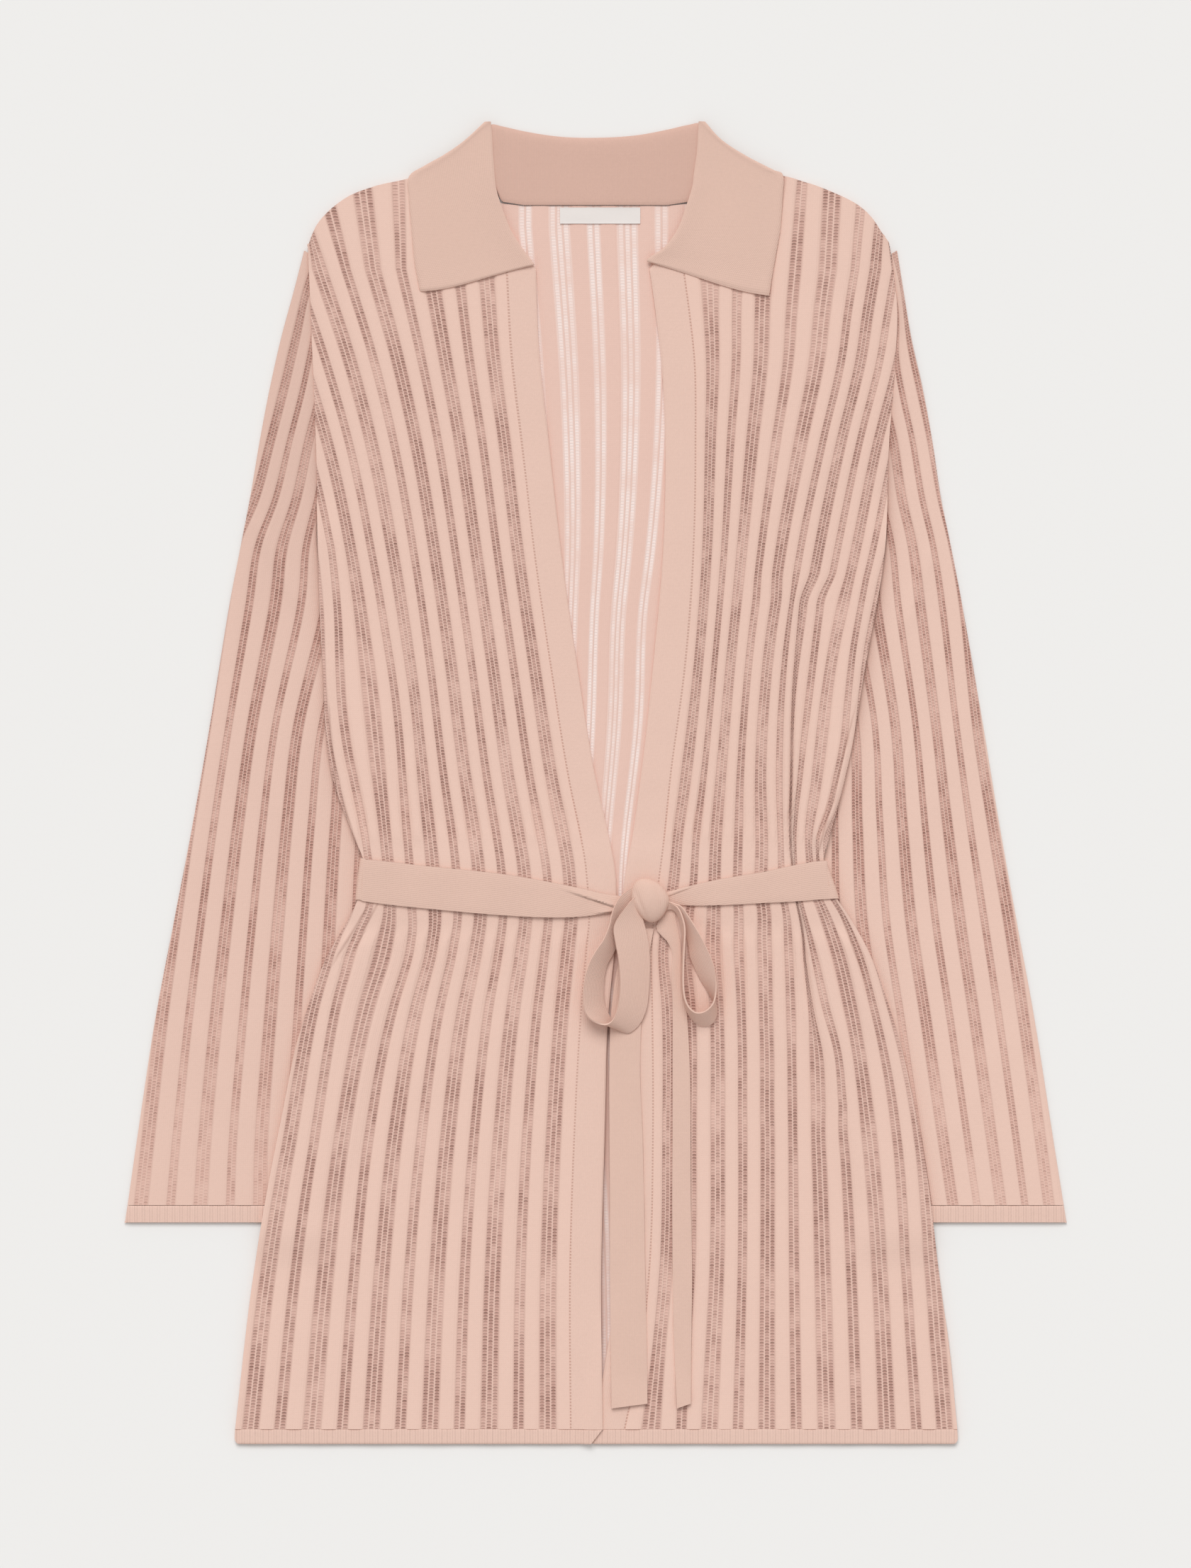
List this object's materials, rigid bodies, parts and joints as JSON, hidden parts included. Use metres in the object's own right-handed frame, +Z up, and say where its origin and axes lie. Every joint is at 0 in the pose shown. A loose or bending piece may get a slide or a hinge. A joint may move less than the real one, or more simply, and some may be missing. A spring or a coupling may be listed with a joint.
{
  "type": "knitted cardigan",
  "caption": "Ribbed openwork cardigan with a folded collar, long sleeves and its own belt tied in a bow, laid flat on its back",
  "frame": {"origin": "middle of the underside of the whole garment, on the surface it lies on", "axes": "+X to the wearer's left, +Y from the hem to the collar, +Z up from the surface"},
  "size_m": [0.5996, 0.8428, 0.016],
  "materials": {
    "back_panel_knit": "matt openwork knit",
    "front_right_knit": "matt openwork knit",
    "front_left_knit": "matt openwork knit",
    "front_band_right_plain_knit": "matt plain knit",
    "front_band_left_plain_knit": "matt plain knit",
    "hem_band_back_knit": "matt ribbed knit",
    "hem_band_right_knit": "matt ribbed knit",
    "hem_band_left_knit": "matt ribbed knit",
    "sleeve_right_knit": "matt openwork knit",
    "sleeve_left_knit": "matt openwork knit",
    "cuff_right_knit": "matt ribbed knit",
    "cuff_left_knit": "matt ribbed knit",
    "collar_plain_knit": "matt plain knit",
    "neck_label_label": "woven ribbon",
    "belt_back_plain_knit": "matt plain knit",
    "belt_front_right_plain_knit": "matt plain knit",
    "belt_front_left_plain_knit": "matt plain knit",
    "belt_knot_plain_knit": "matt plain knit",
    "bow_loop_right_plain_knit": "matt plain knit",
    "bow_loop_left_plain_knit": "matt plain knit",
    "belt_tail_right_plain_knit": "matt plain knit",
    "belt_tail_left_plain_knit": "matt plain knit"
  },
  "bodies": {
    "root": {"back_panel": "back_panel_knit", "front_right": "front_right_knit", "front_left": "front_left_knit", "front_band_right": "front_band_right_plain_knit", "front_band_left": "front_band_left_plain_knit", "hem_band_back": "hem_band_back_knit", "hem_band_right": "hem_band_right_knit", "hem_band_left": "hem_band_left_knit", "sleeve_right": "sleeve_right_knit", "sleeve_left": "sleeve_left_knit", "cuff_right": "cuff_right_knit", "cuff_left": "cuff_left_knit", "collar": "collar_plain_knit", "neck_label": "neck_label_label", "belt_back": "belt_back_plain_knit", "belt_front_right": "belt_front_right_plain_knit", "belt_front_left": "belt_front_left_plain_knit", "belt_knot": "belt_knot_plain_knit", "bow_loop_right": "bow_loop_right_plain_knit", "bow_loop_left": "bow_loop_left_plain_knit", "belt_tail_right": "belt_tail_right_plain_knit", "belt_tail_left": "belt_tail_left_plain_knit"}
  },
  "joints": []
}
